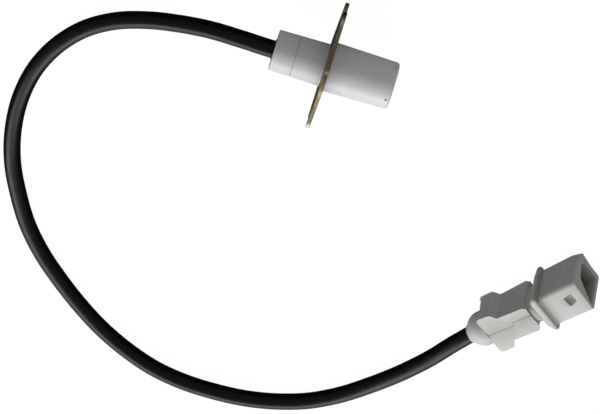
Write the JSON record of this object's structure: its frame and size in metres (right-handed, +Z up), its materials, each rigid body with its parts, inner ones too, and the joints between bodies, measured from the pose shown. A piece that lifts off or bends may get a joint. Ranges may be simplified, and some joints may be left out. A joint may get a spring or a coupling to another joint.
{
  "type": "flame sensor probe",
  "caption": "Photocell flame sensor: a white round probe with a swivelling oval fixing flange, a short black lead and a white latching plug.",
  "frame": {"origin": "on the floor under the middle of the head's box, with the flange standing on its long edge", "axes": "+X along the probe towards its sensing end, +Y along the flange's long side, +Z up"},
  "size_m": [0.1865, 0.1634, 0.024],
  "materials": {
    "head_plastic": "satin moulded white",
    "plug_plastic": "satin moulded off-white",
    "yellow_zinc": "pressed steel with a yellow passivated zinc plate",
    "cord_sheath": "smooth satin black",
    "window_glass": "polished clear",
    "seal_rubber": "matt black",
    "grey_plastic": "matt grey",
    "cell_body": "glossy orange-brown resin",
    "tinned_metal": "bright tinned",
    "contact_brass": "bright stamped",
    "brown_core": "satin brown insulation",
    "blue_core": "satin blue insulation"
  },
  "bodies": {
    "probe": {"front_barrel": "head_plastic", "rear_body": "head_plastic", "rear_cap": "head_plastic", "window_bezel": "head_plastic", "sensor_window": "window_glass", "window_seal": "seal_rubber", "body_seal": "seal_rubber", "cord_anchor": "seal_rubber", "cord_gland": "seal_rubber", "photocell": "cell_body", "cell_holder": "grey_plastic", "cell_lead_a": "tinned_metal", "cell_lead_b": "tinned_metal", "splice_brown": "tinned_metal", "splice_blue": "tinned_metal", "head_core_brown": "brown_core", "head_core_blue": "blue_core", "cord_sheath": "cord_sheath", "plug_housing": "plug_plastic", "contact_a": "contact_brass", "contact_b": "contact_brass", "terminal_lock": "grey_plastic", "plug_core_brown": "brown_core", "plug_core_blue": "blue_core", "neck_band": "plug_plastic", "shell_near": "plug_plastic", "shell_far": "plug_plastic", "entry_sleeve": "plug_plastic"},
    "flange": {"flange_plate": "yellow_zinc"}
  },
  "joints": [
    {"name": "flange_swivel", "type": "hinge", "parent": "probe", "child": "flange", "pos_m": [-0.0012, 0, 0.012], "axis": [1, 0, 0], "continuous": true}
  ]
}
